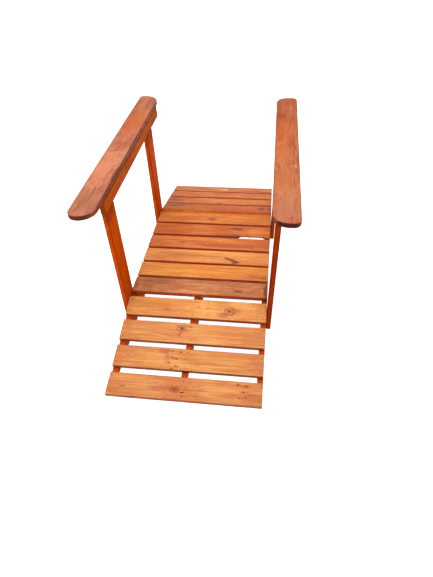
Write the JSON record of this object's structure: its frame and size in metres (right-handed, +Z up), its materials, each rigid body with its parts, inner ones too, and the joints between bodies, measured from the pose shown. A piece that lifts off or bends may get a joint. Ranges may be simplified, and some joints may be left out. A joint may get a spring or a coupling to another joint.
{
  "type": "wooden garden footbridge",
  "caption": "Small stained-pine garden footbridge with a level slatted deck, a slatted ramp at each end, and a plank handrail on posts along both sides.",
  "frame": {"origin": "on the ground, at the centre of the bridge's plan", "axes": "+X across the bridge to the right, +Y along it from the near ramp to the far one, +Z up"},
  "size_m": [0.7856, 1.5456, 0.6416],
  "materials": {
    "deck_boards": "stained pine, weathered, matt",
    "near_ramp_boards": "stained pine, sun-faded, matt",
    "far_ramp_boards": "stained pine, weathered, matt",
    "frame_timber": "stained pine, matt",
    "posts": "stained pine, satin",
    "rails": "stained pine, satin",
    "handrails": "stained pine, sun-bleached, matt"
  },
  "bodies": {
    "root": {"deck_board_1": "deck_boards", "deck_board_2": "deck_boards", "deck_board_3": "deck_boards", "deck_board_4": "deck_boards", "deck_board_5": "deck_boards", "deck_board_6": "deck_boards", "near_ramp_board_1": "near_ramp_boards", "far_ramp_board_1": "far_ramp_boards", "near_ramp_board_2": "near_ramp_boards", "far_ramp_board_2": "far_ramp_boards", "near_ramp_board_3": "near_ramp_boards", "far_ramp_board_3": "far_ramp_boards", "near_ramp_board_4": "near_ramp_boards", "far_ramp_board_4": "far_ramp_boards", "left_joist": "frame_timber", "near_left_stringer": "frame_timber", "far_left_stringer": "frame_timber", "middle_joist": "frame_timber", "near_middle_stringer": "frame_timber", "far_middle_stringer": "frame_timber", "right_joist": "frame_timber", "near_right_stringer": "frame_timber", "far_right_stringer": "frame_timber", "near_left_post": "posts", "far_left_post": "posts", "left_rail": "rails", "left_handrail": "handrails", "near_right_post": "posts", "far_right_post": "posts", "right_rail": "rails", "right_handrail": "handrails"}
  },
  "joints": []
}
